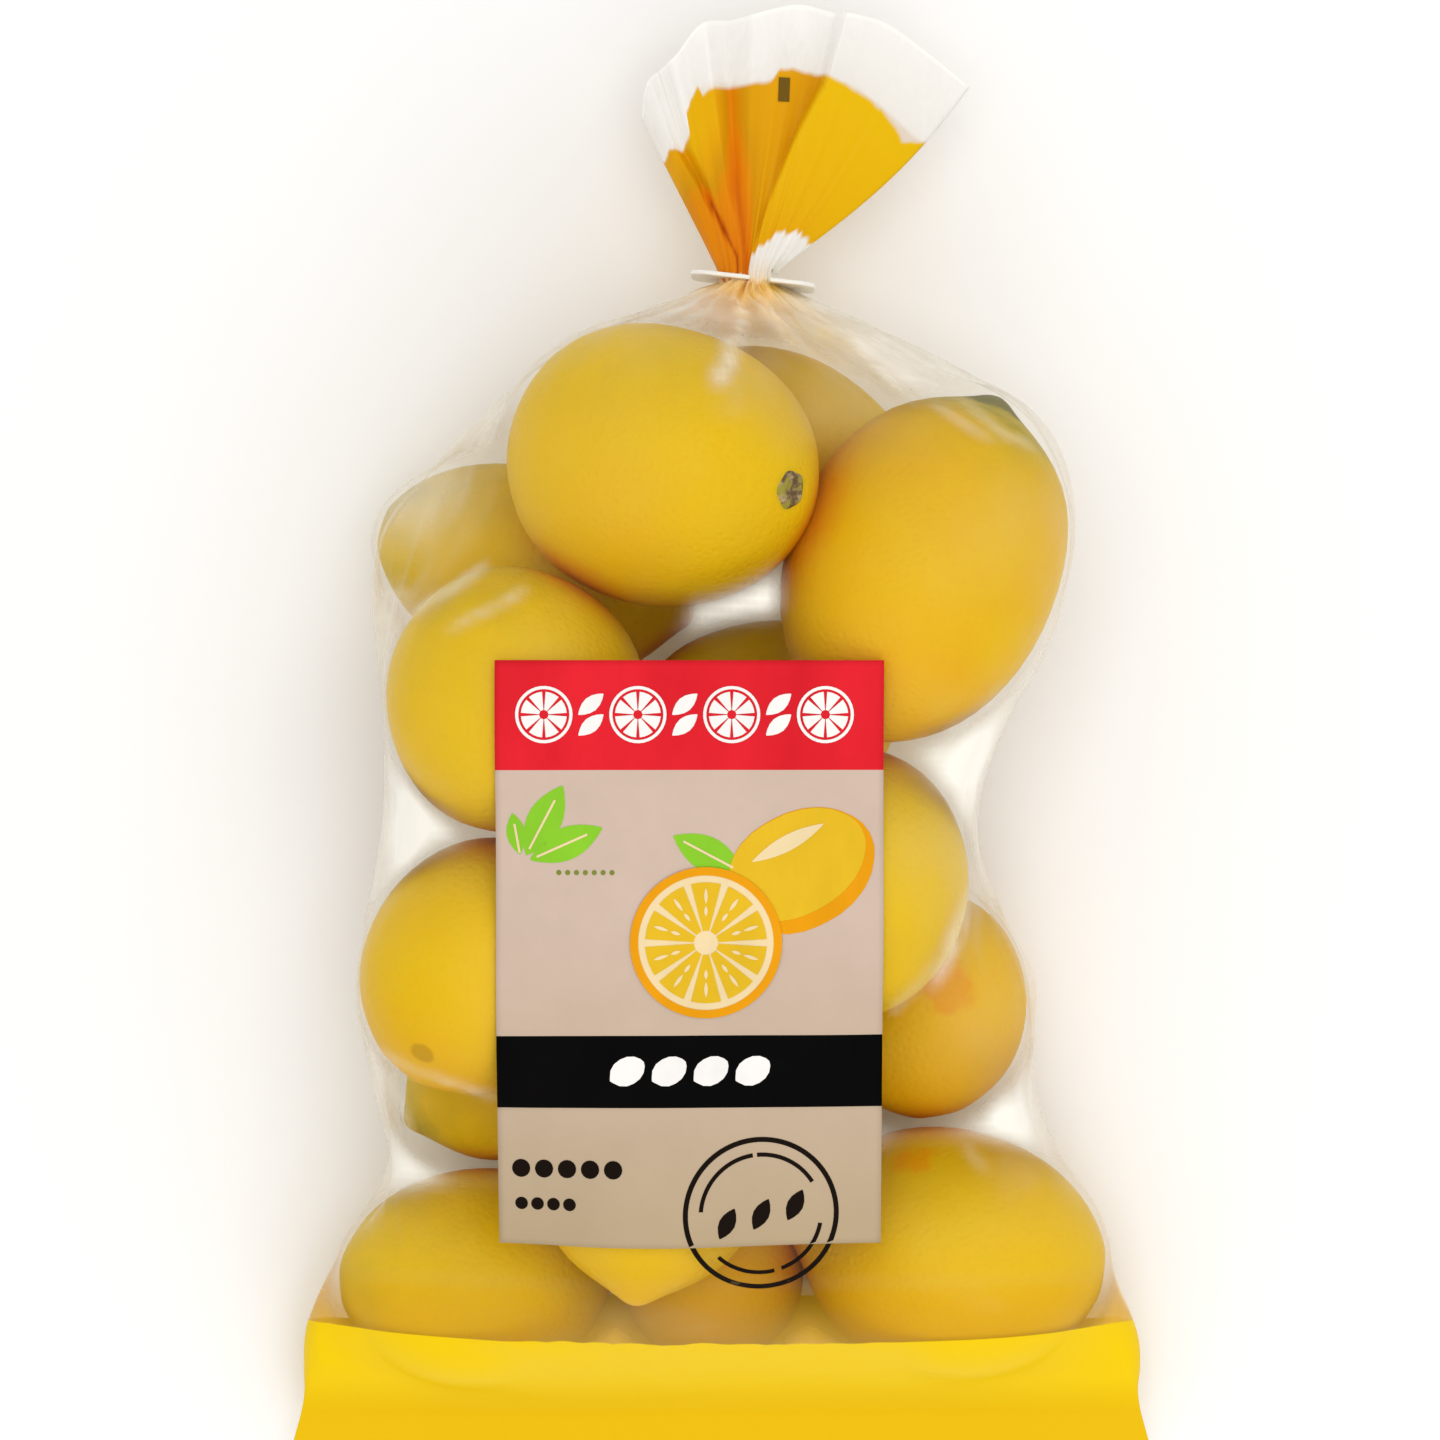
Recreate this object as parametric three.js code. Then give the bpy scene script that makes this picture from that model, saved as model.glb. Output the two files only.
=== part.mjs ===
// A clear film bag packed with lemons, lying on its back.
// Millimetres, +Z up. +X runs across the bag, +Y from the flat seal to the gathered top,
// and the printed front faces +Z. The origin is under the middle of the whole bag.

import * as THREE from 'three';

// ---- driving dimensions ----------------------------------------------------------------

// Each lemon: its centre, its length and width, where its long axis heads and how it lifts (degrees).
const lemons = [
  { at: [-12.8, 56.8, 71.5], length: 78.5, width: 62.5, heading: -13, lift: 41 },
  { at: [44.6, 35, 67.5], length: 85, width: 60.5, heading: 70, lift: -18 },
  { at: [22, 60, 21.8], length: 66, width: 42.5, heading: -22, lift: 0 },
  { at: [-43.8, 4.8, 72], length: 62, width: 57.5, heading: 110, lift: 0 },
  { at: [-45, 37, 24], length: 66, width: 47, heading: -10, lift: 0 },
  { at: [9, 0, 24.3], length: 62, width: 48, heading: 5, lift: 0 },
  { at: [-49.8, -52.4, 64.5], length: 65, width: 54, heading: 50, lift: 0 },
  { at: [-38, -73.5, 23.5], length: 62, width: 46, heading: 10, lift: 0 },
  { at: [27, -33, 65], length: 64, width: 55, heading: 100, lift: -22 },
  { at: [42, -63, 25], length: 60, width: 49, heading: -45, lift: 0 },
  { at: [-54, -123, 25], length: 64, width: 49, heading: 4, lift: 0 },
  { at: [-12, -99, 58.5], length: 62, width: 54, heading: 242, lift: 20 },
  { at: [51, -117.2, 28.5], length: 72, width: 56, heading: -8, lift: 0 },
  { at: [-5, -123.5, 20], length: 42, width: 39, heading: 90, lift: 0 },
];
const filmGap = 0.5; // the film lies this far off the peel

// The bag's two side edges, as [y, x] from the seal up to the neck.
const leftEdge = [
  [-161, -96], [-151, -93.5], [-139, -94], [-126, -89.5], [-113, -81.5], [-101, -70.5],
  [-87, -75], [-73, -78], [-62, -81], [-44, -78], [-28, -75], [-8, -73.5], [14, -75],
  [35, -77], [50, -70.5], [72, -48.5], [83, -34], [91, -17], [95, -6], [97, -0.2],
];
const rightEdge = [
  [-161, 96.5], [-151, 94], [-137, 94], [-117, 85], [-100, 76], [-86, 69], [-77, 68],
  [-58, 70], [-44, 64], [-24, 55], [-2, 61.5], [19, 74], [40, 78.5], [55, 76], [72, 66],
  [85, 40], [91, 27.5], [94.5, 15], [97, 11.8],
];
// Height of the side edges above the table, as [y, z]: the taut film holds the seal off it.
const edgeHeight = [
  [-161, 15], [-150, 17], [-134, 24], [-118, 31], [-96, 40], [-60, 46],
  [40, 48], [72, 45], [90, 41], [97, 40],
];

// Half the depth of the bag at the same places, as [y, depth]: flat along the seal.
const halfDepth = [
  [-161, 0.5], [-151, 0.5], [-148, 4], [-144, 11], [-138, 18], [-128, 25], [-118, 30],
  [-96, 40], [-60, 46], [40, 48], [72, 44], [85, 30], [91, 18], [95, 8.5], [97, 6],
];
const sealTop = -151; // the flat seal runs from the bottom edge up to here
const sealEase = 12; // its square ends round off over this length
const sealSquareness = 0.7; // 0 would give the seal an oval section, 1 a square one
const sideRound = 7; // radius of the film where it turns round the sides
const sideRoundShare = 0.6; // and no more than this share of half the depth

const neckRadius = 6;
const neckX = 5.8;
const neckZ = 40;
const neckBottom = 97;
const neckTop = 100;

// The fan of loose film above the neck: its free edge from the right corner to the left one, [x, y].
const fanEdge = [
  [55.5, 142], [46, 149.5], [36, 156], [24.5, 158.5], [16.5, 159.8], [5, 157], [-4, 155.5],
  [-10, 148.5], [-16, 143], [-17.5, 135],
];
const fanHalfDepth = 6; // half the width of its open mouth
const fanDroop = 8; // the mouth hangs this far below the neck
const fanPleats = 6;
const fanPleatDepth = 3.5;
const fanSideBow = 4; // its right side bows out this far

const label = { left: -48, right: 35, bottom: -112.5, top: 14, gap: 0.9, thickness: 0.5, cell: 5 };

const tag = {
  width: 27.6, height: 16, thickness: 1, corner: 4, clearance: 0.45, y: 98.5,
  offset: 1.5, // the plate's middle lies this far to the right of the neck
  slot: 4.4, slotX: 3, // width of the slot, and how far it lies to the right of the neck
};
const tagTurn = THREE.MathUtils.degToRad(-6.5);
const tagLean = THREE.MathUtils.degToRad(-3);

// ---- how finely the film is divided ----------------------------------------------------

const around = 64;
const fanRows = 11;
const bodyRows = [
  [-161, -151, 3], [-151, -139, 6], [-139, 76, 46], [76, 97, 12], [97, 100, 2],
];
const settleSteps = 500;
const looseReach = 1.4; // the film starts this many times too wide, and is pulled in
const hoopPull = 0.45; // share of the pull round the bag, the rest is along it

// ---- helpers ---------------------------------------------------------------------------

// Smooth curve through [position, value] pairs, read at one position.
function along(pairs, at) {
  const last = pairs.length - 1;
  if (at <= pairs[0][0]) return pairs[0][1];
  if (at >= pairs[last][0]) return pairs[last][1];
  const i = pairs.findIndex(([p]) => p > at) - 1;
  const slope = (k) => {
    const a = pairs[Math.max(k - 1, 0)];
    const b = pairs[Math.min(k + 1, last)];
    return (b[1] - a[1]) / (b[0] - a[0]);
  };
  const [p0, v0] = pairs[i];
  const [p1, v1] = pairs[i + 1];
  const span = p1 - p0;
  const t = (at - p0) / span;
  const a = v0 * (1 + 2 * t) * (1 - t) ** 2 + slope(i) * span * t * (1 - t) ** 2;
  return a + v1 * t * t * (3 - 2 * t) + slope(i + 1) * span * t * t * (t - 1);
}

function closedGeometry(points, triangles) {
  const geometry = new THREE.BufferGeometry();
  geometry.setAttribute('position', new THREE.Float32BufferAttribute(points.flat(), 3));
  geometry.setIndex(triangles.flat());
  geometry.computeVertexNormals();
  return geometry;
}

function plastic(color, roughness) {
  return new THREE.MeshStandardMaterial({ color, roughness, metalness: 0 });
}

// ---- the lemons as obstacles under the film --------------------------------------------

function lemonBody({ at, length, width, heading, lift }) {
  const turn = THREE.MathUtils.degToRad(heading);
  const rise = THREE.MathUtils.degToRad(lift);
  const axis = new THREE.Vector3(
    Math.cos(turn) * Math.cos(rise), Math.sin(turn) * Math.cos(rise), Math.sin(rise),
  );
  return { centre: new THREE.Vector3(...at), axis, long: length / 2 + filmGap, short: width / 2 + filmGap };
}

const lemonBodies = lemons.map(lemonBody);

// How far a ray travels, in multiples of its direction, before it leaves the lemon for good.
function leavesLemon(start, direction, { centre, axis, long, short }) {
  const offset = start.clone().sub(centre);
  const alongStart = offset.dot(axis);
  const alongRay = direction.dot(axis);
  const squash = 1 / (long * long) - 1 / (short * short);
  const a = direction.lengthSq() / (short * short) + alongRay * alongRay * squash;
  const b = offset.dot(direction) / (short * short) + alongStart * alongRay * squash;
  const c = offset.lengthSq() / (short * short) + alongStart * alongStart * squash - 1;
  const inside = b * b - a * c;
  return inside > 0 ? (Math.sqrt(inside) - b) / a : 0;
}

// The same for the rounded side of the bag, a circle that touches the side edge from within.
function leavesSide(start, direction, edgeX, round) {
  const dx = start.x - (edgeX - Math.sign(edgeX - start.x) * round);
  const a = direction.x ** 2 + direction.z ** 2;
  const b = dx * direction.x;
  const inside = b * b - a * (dx * dx - round * round);
  return inside > 0 ? (Math.sqrt(inside) - b) / a : 0;
}

// ---- the film: rows of points along the bag, each a closed ring ------------------------

function rowPositions() {
  const rows = [bodyRows[0][0]];
  for (const [from, to, count] of bodyRows) {
    for (let k = 1; k <= count; k += 1) rows.push(from + ((to - from) * k) / count);
  }
  return rows;
}

function makeRow(y) {
  const left = along(leftEdge, y);
  const right = along(rightEdge, y);
  const height = along(edgeHeight, y);
  const start = new THREE.Vector3((left + right) / 2, y, height);
  const halfWidth = (right - left) / 2;
  const depth = along(halfDepth, y);
  const boxy = THREE.MathUtils.clamp(1 - (y - sealTop) / sealEase, 0, 1);
  const held = y <= sealTop || y >= neckBottom;
  const round = Math.min(sideRound, sideRoundShare * depth);
  const rays = [];
  const reach = [];
  const least = [];
  const most = [];
  for (let j = 0; j < around; j += 1) {
    const angle = (2 * Math.PI * j) / around;
    const rise = Math.sin(angle);
    const lifted = Math.sign(rise) * Math.abs(rise) ** (1 - sealSquareness * boxy);
    const ray = new THREE.Vector3(halfWidth * Math.cos(angle), 0, depth * lifted);
    const sides = Math.max(leavesSide(start, ray, left, round), leavesSide(start, ray, right, round));
    const fruit = Math.max(...lemonBodies.map((body) => leavesLemon(start, ray, body)));
    const onEdge = j === 0 || j === around / 2;
    rays.push(ray);
    least.push(held || onEdge ? Math.max(1, held ? 0 : fruit) : Math.max(sides, fruit));
    most.push(ray.z < 0 ? height / -ray.z : Infinity);
    reach.push(held || onEdge ? least[j] : looseReach);
  }
  return { y, start, rays, reach, least, most, held };
}

function filmPoint(row, j) {
  return row.start.clone().addScaledVector(row.rays[j], row.reach[j]);
}

// Pulls the film tight: every point moves to the middle of its neighbours, unless a lemon holds it
// out or it would sag below the table.
function settle(rows) {
  const points = rows.map((row) => row.rays.map((_, j) => filmPoint(row, j)));
  for (let step = 0; step < settleSteps; step += 1) {
    for (let i = 1; i < rows.length - 1; i += 1) {
      const row = rows[i];
      if (row.held) continue;
      const below = row.y - rows[i - 1].y;
      const above = rows[i + 1].y - row.y;
      for (let j = 0; j < around; j += 1) {
        if (j === 0 || j === around / 2) continue;
        const ring = points[i];
        const hoop = ring[(j + around - 1) % around].clone().add(ring[(j + 1) % around]).multiplyScalar(0.5);
        const lengthwise = points[i - 1][j].clone().multiplyScalar(above / (below + above));
        lengthwise.addScaledVector(points[i + 1][j], below / (below + above));
        const pulled = lengthwise.lerp(hoop, hoopPull).sub(row.start);
        const ray = row.rays[j];
        const free = pulled.dot(ray) / ray.lengthSq();
        row.reach[j] = THREE.MathUtils.clamp(free, row.least[j], Math.max(row.least[j], row.most[j]));
        ring[j] = filmPoint(row, j);
      }
    }
  }
  return points;
}

// ---- the gathered top ------------------------------------------------------------------

function fanRim(share) {
  const spread = share * (fanEdge.length - 1);
  const xs = fanEdge.map(([x], k) => [k, x]);
  const ys = fanEdge.map(([, y], k) => [k, y]);
  return [along(xs, spread), along(ys, spread)];
}

function fanRow(neckRing, climb) {
  return neckRing.map((from, j) => {
    const front = j <= around / 2;
    const share = (front ? j : around - j) / (around / 2);
    const [rimX, rimY] = fanRim(share);
    const sides = Math.sin(Math.PI * share);
    const bow = fanSideBow * Math.sin(Math.PI * climb) * (1 - share) ** 4;
    const pleat = fanPleatDepth * Math.cos(2 * Math.PI * fanPleats * share) * Math.sqrt(sides);
    const depth = (front ? 1 : -1) * fanHalfDepth * Math.sqrt(sides);
    const rim = new THREE.Vector3(rimX, rimY, neckZ - fanDroop + depth + pleat);
    const point = from.clone().lerp(rim, climb);
    point.x += bow;
    return point;
  });
}

// ---- the bag ---------------------------------------------------------------------------

const bodyPoints = settle(rowPositions().map(makeRow));

function skinRings(rings) {
  const triangles = [];
  for (let i = 0; i < rings.length - 1; i += 1) {
    for (let j = 0; j < around; j += 1) {
      const a = i * around + j;
      const b = i * around + ((j + 1) % around);
      triangles.push([a, b + around, b], [a, a + around, b + around]);
    }
  }
  return triangles;
}

// Closes one end by joining the front half of its ring to the back half.
function closeEnd(first, flip) {
  const triangles = [];
  for (let j = 0; j < around / 2; j += 1) {
    const front = [first + j, first + j + 1];
    const back = [first + ((around - j) % around), first + around - j - 1];
    if (j > 0) triangles.push([front[0], back[0], front[1]]);
    if (j < around / 2 - 1) triangles.push([front[1], back[0], back[1]]);
  }
  return flip ? triangles.map(([a, b, c]) => [a, c, b]) : triangles;
}

function makeBag() {
  const neckRing = bodyPoints[bodyPoints.length - 1];
  const rings = [...bodyPoints];
  for (let k = 1; k <= fanRows; k += 1) rings.push(fanRow(neckRing, k / fanRows));
  const points = rings.flat().map((point) => point.toArray());
  const lastRing = (rings.length - 1) * around;
  const triangles = [...skinRings(rings), ...closeEnd(0, true), ...closeEnd(lastRing, false)];
  const mesh = new THREE.Mesh(closedGeometry(points, triangles), plastic(0xe6c62e, 0.35));
  mesh.name = 'bag';
  return mesh;
}

// ---- the front label -------------------------------------------------------------------

// Height of the film's front above a point of the table, taken from its own flat facets.
function frontHeight(x, y) {
  const i = bodyPoints.findIndex((ring) => ring[0].y > y) - 1;
  const share = (y - bodyPoints[i][0].y) / (bodyPoints[i + 1][0].y - bodyPoints[i][0].y);
  const cut = (j) => bodyPoints[i][j].clone().lerp(bodyPoints[i + 1][j], share);
  for (let j = 1; j < around / 2; j += 1) {
    const near = cut(j);
    const far = cut(j + 1);
    if (near.x >= x && far.x <= x) return THREE.MathUtils.mapLinear(x, near.x, far.x, near.z, far.z);
  }
  return neckZ;
}

function makeLabel() {
  const across = Math.round((label.right - label.left) / label.cell);
  const up = Math.round((label.top - label.bottom) / label.cell);
  const perRow = across + 1;
  const perSheet = perRow * (up + 1);
  const points = [];
  for (const lift of [label.gap, label.gap + label.thickness]) {
    for (let r = 0; r <= up; r += 1) {
      for (let c = 0; c <= across; c += 1) {
        const x = THREE.MathUtils.lerp(label.left, label.right, c / across);
        const y = THREE.MathUtils.lerp(label.bottom, label.top, r / up);
        points.push([x, y, frontHeight(x, y) + lift]);
      }
    }
  }
  const triangles = [];
  const quad = (a, b, c, d) => triangles.push([a, b, c], [a, c, d]);
  for (let r = 0; r < up; r += 1) {
    for (let c = 0; c < across; c += 1) {
      const a = r * perRow + c;
      quad(a + perSheet, a + 1 + perSheet, a + 1 + perRow + perSheet, a + perRow + perSheet);
      quad(a, a + perRow, a + 1 + perRow, a + 1);
    }
  }
  for (let c = 0; c < across; c += 1) {
    const top = up * perRow + c;
    quad(c, c + 1, c + 1 + perSheet, c + perSheet);
    quad(top + 1, top, top + perSheet, top + 1 + perSheet);
  }
  for (let r = 0; r < up; r += 1) {
    const leftSide = r * perRow;
    const rightSide = leftSide + across;
    quad(leftSide + perRow, leftSide, leftSide + perSheet, leftSide + perRow + perSheet);
    quad(rightSide, rightSide + perRow, rightSide + perRow + perSheet, rightSide + perSheet);
  }
  const mesh = new THREE.Mesh(closedGeometry(points, triangles), plastic(0xd8c2ad, 0.4));
  mesh.name = 'label';
  return mesh;
}

// ---- the closure tag round the neck ----------------------------------------------------

// A rounded plate with a hole for the gathered film and a slot that lets it in from one end.
function tagOutline() {
  const { width, height, corner, clearance, offset, slot, slotX } = tag;
  const hole = neckRadius + clearance;
  const left = offset - width / 2;
  const right = offset + width / 2;
  const end = height / 2;
  const slotLeft = slotX - slot / 2;
  const slotRight = slotX + slot / 2;
  const down = -Math.PI / 2;
  const shape = new THREE.Shape();
  shape.moveTo(slotRight, -end);
  shape.lineTo(right - corner, -end);
  shape.absarc(right - corner, -end + corner, corner, down, 0, false);
  shape.absarc(right - corner, end - corner, corner, 0, Math.PI / 2, false);
  shape.absarc(left + corner, end - corner, corner, Math.PI / 2, Math.PI, false);
  shape.absarc(left + corner, -end + corner, corner, Math.PI, 1.5 * Math.PI, false);
  shape.lineTo(slotLeft, -end);
  shape.absarc(0, 0, hole, -Math.acos(slotLeft / hole), -Math.acos(slotRight / hole), true);
  shape.closePath();
  return shape;
}

function makeTag() {
  const plate = new THREE.ExtrudeGeometry(tagOutline(), {
    depth: tag.thickness, bevelEnabled: false, curveSegments: 8,
  });
  plate.translate(0, 0, -tag.thickness / 2);
  plate.rotateX(-Math.PI / 2); // stands it up with the slot open to the front
  const mesh = new THREE.Mesh(plate, plastic(0xe8e4da, 0.3));
  mesh.position.set(neckX, tag.y, neckZ);
  mesh.rotation.set(tagLean, 0, tagTurn);
  mesh.name = 'closure_tag';
  return mesh;
}

// ---- the whole -------------------------------------------------------------------------

const group = new THREE.Group();
group.add(makeBag(), makeLabel(), makeTag());

export default group;
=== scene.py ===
from math import atan2, copysign, cos, exp, pi, radians, sin, sqrt

import bmesh
from bmesh import ops
import bpy
import numpy as np
from mathutils import Matrix, Vector, noise
from mathutils.bvhtree import BVHTree


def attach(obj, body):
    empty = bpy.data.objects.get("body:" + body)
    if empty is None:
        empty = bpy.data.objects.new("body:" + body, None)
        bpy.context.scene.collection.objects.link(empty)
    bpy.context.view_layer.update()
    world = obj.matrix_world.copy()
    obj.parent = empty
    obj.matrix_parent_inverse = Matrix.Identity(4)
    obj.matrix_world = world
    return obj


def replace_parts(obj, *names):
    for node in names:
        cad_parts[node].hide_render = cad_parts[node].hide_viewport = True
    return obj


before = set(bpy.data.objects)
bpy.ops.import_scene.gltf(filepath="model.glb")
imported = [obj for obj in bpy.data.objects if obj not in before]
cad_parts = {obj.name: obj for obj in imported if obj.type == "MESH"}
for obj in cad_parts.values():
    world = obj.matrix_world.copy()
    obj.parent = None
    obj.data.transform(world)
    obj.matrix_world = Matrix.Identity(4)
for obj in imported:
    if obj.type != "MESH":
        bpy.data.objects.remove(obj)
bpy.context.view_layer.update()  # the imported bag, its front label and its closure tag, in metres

mm = 0.001


def say(stage):
    print("bag of lemons:", stage)


def table(columns, *rows):  # each row as a dictionary, under the columns' names
    return [dict(zip(columns.split(), row)) for row in rows]


def addObject(name, data):
    thing = bpy.data.objects.new(name, data)
    bpy.context.collection.objects.link(thing)
    return thing


def finishMesh(name, bm, materials):
    mesh = bpy.data.meshes.new(name)
    bm.to_mesh(mesh)
    bm.free()
    for material in materials:
        mesh.materials.append(material)
    return addObject(name, mesh)


def finishPiece(name, bm, materials):
    piece = finishMesh(name, bm, materials)
    piece.data.shade_smooth()
    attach(piece, "root")
    return piece


def smooth(bm, verts, rounds, across=True):
    for _ in range(rounds):
        ops.smooth_vert(bm, verts=verts, factor=0.5, use_axis_x=across, use_axis_y=across, use_axis_z=True)


def ease(low, high, x):  # 0 at low, 1 at high, whichever is the larger
    t = min(max((x - low) / (high - low), 0.0), 1.0)
    return t * t * (3 - 2 * t)


def readLine(pairs, at):  # straight runs through (position, value) pairs
    return float(np.interp(at, [p for p, _ in pairs], [v for _, v in pairs]))


def turnOf(heading, lift):
    turn = radians(heading)
    rise = radians(lift)
    aim = Vector((cos(turn) * cos(rise), sin(turn) * cos(rise), sin(rise)))
    return aim.to_track_quat("X", "Z").to_matrix()


def rayAt(degrees):
    angle = radians(degrees)
    return Vector((cos(angle), sin(angle)))


def only(kind, geom):
    return [g for g in geom if isinstance(g, kind)]


def spin(bm, points, centre, axis, angle, steps, whole=True):
    # Turns a line of points about an axis into a skin.
    line = [bm.verts.new(point) for point in points]
    edges = [bm.edges.new(pair) for pair in zip(line, line[1:])]
    ops.spin(bm, geom=line + edges, cent=centre, axis=axis, angle=angle, steps=steps, use_merge=whole)


class Shader:
    # A material, built from a few short steps.
    def __init__(self, name):
        self.material = bpy.data.materials.new(name)
        self.material.use_nodes = True
        self.tree = self.material.node_tree
        self.body = self.tree.nodes["Principled BSDF"]
        self.out = self.tree.nodes["Material Output"]
        self.place = self.add("TexCoord").outputs["Object"]
        self.axes = self.add("SeparateXYZ")
        self.link(self.place, self.axes.inputs["Vector"])

    def add(self, kind, **values):
        node = self.tree.nodes.new("ShaderNode" + kind)
        for key, value in values.items():
            setattr(node, key, value)
        return node

    def link(self, source, target):
        self.tree.links.new(source, target)

    def put(self, socket, value):
        if isinstance(value, bpy.types.NodeSocket):
            self.link(value, socket)
        elif isinstance(value, (tuple, list)) and len(value) == 3 and socket.type == "RGBA":
            socket.default_value = (*value, 1.0)
        else:
            socket.default_value = value

    def dress(self, node, values):
        for name, value in values.items():
            self.put(node.inputs[name], value)

    def fill(self, node, *values):
        for socket, value in zip(node.inputs, values):
            self.put(socket, value)
        return node

    def math(self, operation, a, b, clamp=False):
        return self.fill(self.add("Math", operation=operation, use_clamp=clamp), a, b).outputs[0]

    def plus(self, a, b, clamp=False):
        return self.math("ADD", a, b, clamp)

    def times(self, a, b, clamp=False):
        return self.math("MULTIPLY", a, b, clamp)

    def mapRange(self, value, low, high, to=(0, 1)):
        return self.fill(self.add("MapRange", clamp=True), value, low, high, *to).outputs["Result"]

    def along(self, start, end, to=(0, 1)):  # by how far up the bag a place lies, in mm
        return self.mapRange(self.axes.outputs["Y"], start * mm, end * mm, to)

    def noise(self, scale, detail=2, roughness=0.5, stretch=(1, 1, 1), distortion=0, between=None, to=(0, 1)):
        # A cloudy pattern, which runs from one value to another between two of its levels.
        mapping = self.add("Mapping")
        self.dress(mapping, {"Vector": self.place, "Scale": stretch})
        node = self.add("TexNoise")
        self.dress(node, {"Vector": mapping.outputs["Vector"], "Scale": scale, "Detail": detail,
                          "Roughness": roughness, "Distortion": distortion})
        level = node.outputs["Fac"]
        return self.mapRange(level, *between, to) if between else level

    def cells(self, scale):
        node = self.add("TexVoronoi", feature="SMOOTH_F1")
        self.dress(node, {"Vector": self.place, "Scale": scale, "Smoothness": 0.4})
        return node.outputs["Distance"]

    def spot(self, centre, radius, ragged=0.9, whole=0.7):
        # 1 in the middle of a ragged spot round a place in mm, and 0 outside it
        away = self.fill(self.add("VectorMath", operation="DISTANCE"), self.place, [c * mm for c in centre])
        wander = self.times(self.math("SUBTRACT", self.noise(scale=260, detail=3), 0.5), radius * mm * ragged)
        return self.mapRange(self.plus(away.outputs["Value"], wander), radius * mm, radius * mm * whole)

    def attribute(self, name):
        return self.add("Attribute", attribute_name=name).outputs["Fac"]

    def blend(self, amount, a, b):
        node = self.add("Mix", data_type="RGBA")
        for k, value in ((0, amount), (6, a), (7, b)):
            self.put(node.inputs[k], value)
        return node.outputs[2]

    def ramp(self, amount, stops):
        node = self.add("ValToRGB")
        self.link(amount, node.inputs["Fac"])
        band = node.color_ramp.elements
        while len(band) < len(stops):
            band.new(0.5)
        for element, (place, colour) in zip(band, stops):
            element.position = place
            element.color = (*colour, 1.0)
        return node.outputs["Color"]

    def bump(self, height, strength, distance, **under):
        node = self.add("Bump")
        self.dress(node, {"Height": height, "Strength": strength, "Distance": distance, **under})
        return node.outputs["Normal"]

    def mixed(self, amount, first, second):
        # One shader over another, by an amount.
        return self.fill(self.add("MixShader"), amount, first.outputs[0], second.outputs[0])


# Where each lemon lies, stem end first (mm and degrees), and how green and how golden it is.
lemons = table(
    "at length width heading lift green warm",
    ((-12.8, 56.8, 71.5), 78.5, 62.5, -13, 41, 0.1, 0.22),
    ((44.6, 35, 67.5), 85, 60.5, 246, 18, 0, 0.6),
    ((14, 60.5, 23.3), 66, 46, -24, 0, 0.1, 0.1),
    ((-43.8, 4.8, 72), 62, 57.5, 110, 0, 0.18, 0.15),
    ((-41.4, 34.5, 24), 74, 47, 164, 0, 0.4, 0.1),
    ((9, 0, 24.3), 62, 48, 5, 0, 0.35, 0.2),
    ((-50.3, -52, 64.5), 62, 54, 230, 0, 0.05, 0.3),
    ((-43.4, -74.3, 21.5), 62, 42, 29, 0, 0.7, 0.05),
    ((27, -33, 65), 64, 55, 280, 22, 0.12, 0),
    ((44, -61, 25), 55, 49.5, -80, 0, 0, 0.45),
    ((-54, -123, 25), 64, 49, 184, 0, 0.3, 0.15),
    ((-15.2, -94.5, 59), 66, 52, 84, -15, 0.05, 0.2),
    ((51, -117.2, 28.5), 72, 56, -8, 0, 0, 0.3),
    ((-2, -123, 20.8), 43, 42, 90, 0, 0.1, 0.9),
)

peel = {
    "sun": (0.76, 0.505, 0.006), "gold": (0.745, 0.39, 0.002), "olive": (0.36, 0.28, 0.006),
    "topsideShade": 0.22,  # how much greener and darker the side nearest the neck is: partly a greener tone, partly painted shade
    "undersideShade": 0.35,  # and how much more golden the one nearest the seal: painted shade, in deep orange
    "patches": 22,  # patches of gold, per metre
    "allOver": 0.45,  # the share of the gold that lies between them too
    "shades": 70,  # and lighter and darker places in the green
    "contactShade": (0.68, 0.245, 0.001),  # painted shade in deep orange, where lemons lie against each other
    "contactShadeReach": 9, "contactShadeCover": 0.85,
    "pores": 620, "poreDepth": 0.00022,  # oil glands, per metre
    "poreGold": 0.16,  # how much more golden the middle of each is
    "roughness": (0.41, 0.58), "shine": 0.13, "glow": 0.12, "glowReach": (0.006, 0.003, 0.001),
    "bruiseAndShade": (0.75, 0.32, 0.001), "scar": (0.5, 0.27, 0.004), "greenAndShadedTip": (0.07, 0.075, 0.004),
    "markCover": 0.8,  # and of each mark its middle, radius (mm) and colour
    "marks": [((-64.5, -71, 81.5), 3.4, "scar"), ((50.4, -58, 47), 6.5, "bruiseAndShade"),
              # the wide orange mark at (42, -93, 47) is painted shade where the lemons there meet; the other
              # orange marks are bruises
              ((59, -93, 50), 3, "bruiseAndShade"), ((69, -98, 46), 3, "bruiseAndShade"), ((42, -93, 47), 7, "bruiseAndShade"),
              # the dark tip of the second lemon: partly its own green, partly painted shade under a fold of
              # the film
              ((60, 72, 56), 12, "greenAndShadedTip")],
}

stem = {
    "radius": 4.8, "height": 1.2, "points": 5, "star": 0.07, "uneven": 0.05, "taper": 0.72,
    "scar": [(0.25, 0.7), (-0.55, 0.35)],  # the ring and the pit inside it: height and width
    "bark": (0.11, 0.07, 0.025), "dry": (0.42, 0.31, 0.16), "moss": (0.3, 0.26, 0.03),
}

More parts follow.
